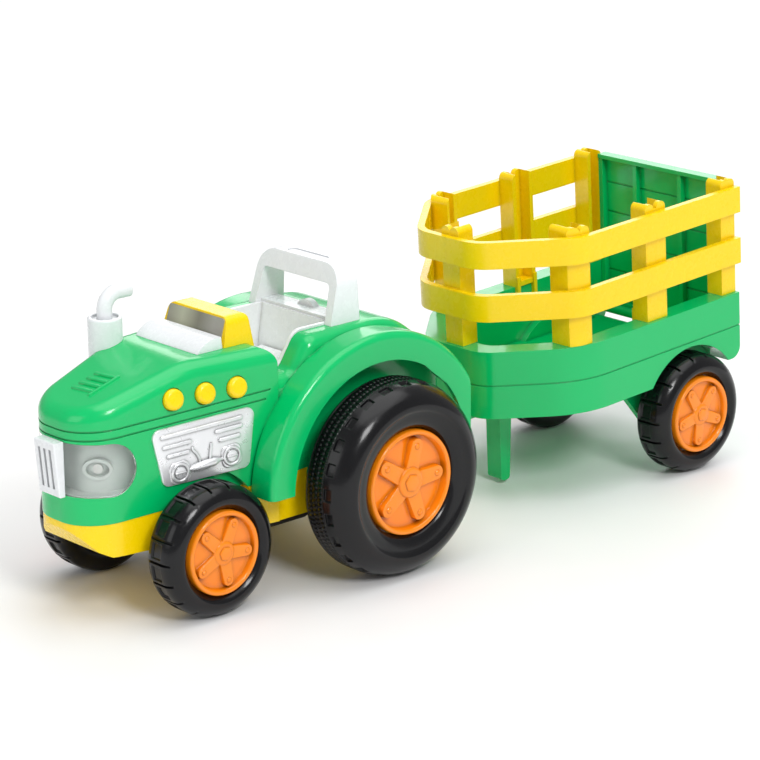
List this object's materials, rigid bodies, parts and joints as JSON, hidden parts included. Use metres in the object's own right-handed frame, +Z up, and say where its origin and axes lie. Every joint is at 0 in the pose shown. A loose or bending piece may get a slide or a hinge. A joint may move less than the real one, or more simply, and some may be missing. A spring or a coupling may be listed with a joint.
{
  "type": "toy tractor with trailer",
  "caption": "Chunky push-along toy tractor with carry handle, push buttons, clear headlamp band and a hitched farm trailer with slatted fence and drop-down tailgate.",
  "frame": {"origin": "middle of the footprint on the ground, half-way between the two ends of tractor and trailer", "axes": "+X towards the tractor's nose, +Y to its left side, +Z up"},
  "size_m": [0.4516, 0.164, 0.1653],
  "materials": {
    "green_plastic": "glossy green",
    "yellow_plastic": "glossy yellow",
    "white_plastic": "glossy white",
    "cream_plastic": "matt cream",
    "lens_clear": "clear moulded lens",
    "silver_plate": "silver coated",
    "label_film": "shiny dark film",
    "tyre_black": "moulded black tread",
    "orange_plastic": "glossy orange",
    "steel": "plated",
    "contact_metal": "nickel plated",
    "cell_jacket": "printed jacket, left plain",
    "board_green": "solder mask",
    "dark_plastic": "matt black",
    "pad_rubber": "soft grey",
    "lamp_white": "translucent"
  },
  "bodies": {
    "tractor": {"body_shell": "green_plastic", "lower_chassis": "yellow_plastic", "dash_block": "yellow_plastic", "grille": "white_plastic", "windscreen_cowl": "white_plastic", "exhaust": "white_plastic", "seat": "white_plastic", "carry_handle": "white_plastic", "headlamp_base": "cream_plastic", "headlamp_reflector": "cream_plastic", "headlamp_lens": "lens_clear", "engine_panel_left": "silver_plate", "engine_panel_right": "silver_plate", "windscreen_label": "label_film", "hitch_pin": "steel", "battery_screw": "steel", "chassis_screws": "steel", "battery_contacts": "contact_metal", "cells": "cell_jacket", "circuit_board": "board_green", "button_board": "board_green", "battery_cover": "dark_plastic", "speaker": "dark_plastic", "switch_body": "dark_plastic", "button_pad": "pad_rubber", "lamps": "lamp_white"},
    "front_wheels": {"front_axle": "steel", "front_tyre_left": "tyre_black", "front_tyre_right": "tyre_black", "front_hub_left": "orange_plastic", "front_hub_right": "orange_plastic"},
    "rear_wheels": {"rear_axle": "steel", "rear_tyre_left": "tyre_black", "rear_tyre_right": "tyre_black", "rear_hub_left": "orange_plastic", "rear_hub_right": "orange_plastic"},
    "button_front_body": {"button_front": "yellow_plastic"},
    "button_middle_body": {"button_middle": "yellow_plastic"},
    "button_rear_body": {"button_rear": "yellow_plastic"},
    "power_switch": {"switch_knob": "dark_plastic"},
    "tailgate_body": {"tailgate": "green_plastic"},
    "trailer": {"trailer_tub": "green_plastic", "drawbar": "green_plastic", "trailer_screws": "steel", "fence_left": "yellow_plastic", "fence_right": "yellow_plastic", "gate_pins": "steel"},
    "trailer_wheels": {"trailer_axle": "steel", "trailer_tyre_left": "tyre_black", "trailer_tyre_right": "tyre_black", "trailer_hub_left": "orange_plastic", "trailer_hub_right": "orange_plastic"}
  },
  "joints": [
    {"name": "front_axle_spin", "type": "hinge", "parent": "tractor", "child": "front_wheels", "pos_m": [0.15905, 0, 0.0344], "axis": [0, 1, 0], "continuous": true},
    {"name": "rear_axle_spin", "type": "hinge", "parent": "tractor", "child": "rear_wheels", "pos_m": [0.05285, 0, 0.052], "axis": [0, 1, 0], "continuous": true},
    {"name": "trailer_axle_spin", "type": "hinge", "parent": "trailer", "child": "trailer_wheels", "pos_m": [-0.18265, 0, 0.0344], "axis": [0, 1, 0], "continuous": true},
    {"name": "hitch_swing", "type": "hinge", "parent": "tractor", "child": "trailer", "pos_m": [-0.02115, 0, 0.0453], "axis": [0, 0, 1], "range_deg": [-30, 30]},
    {"name": "tailgate_hinge", "type": "hinge", "parent": "trailer", "child": "tailgate_body", "pos_m": [-0.22017, 0, 0.06879], "axis": [0, -1, 0], "range_deg": [0, 90]},
    {"name": "power_slide", "type": "slide", "parent": "tractor", "child": "power_switch", "axis": [0, 1, 0], "range_m": [0, 0.006]},
    {"name": "button_front_press", "type": "slide", "parent": "tractor", "child": "button_front_body", "axis": [-0.1539, -0.966, -0.2079], "range_m": [0, 0.002], "stiffness_N_per_m": 300, "springref_m": -0.001},
    {"name": "button_middle_press", "type": "slide", "parent": "tractor", "child": "button_middle_body", "axis": [-0.1539, -0.966, -0.2079], "range_m": [0, 0.002], "stiffness_N_per_m": 300, "springref_m": -0.001},
    {"name": "button_rear_press", "type": "slide", "parent": "tractor", "child": "button_rear_body", "axis": [-0.1539, -0.966, -0.2079], "range_m": [0, 0.002], "stiffness_N_per_m": 300, "springref_m": -0.001}
  ]
}
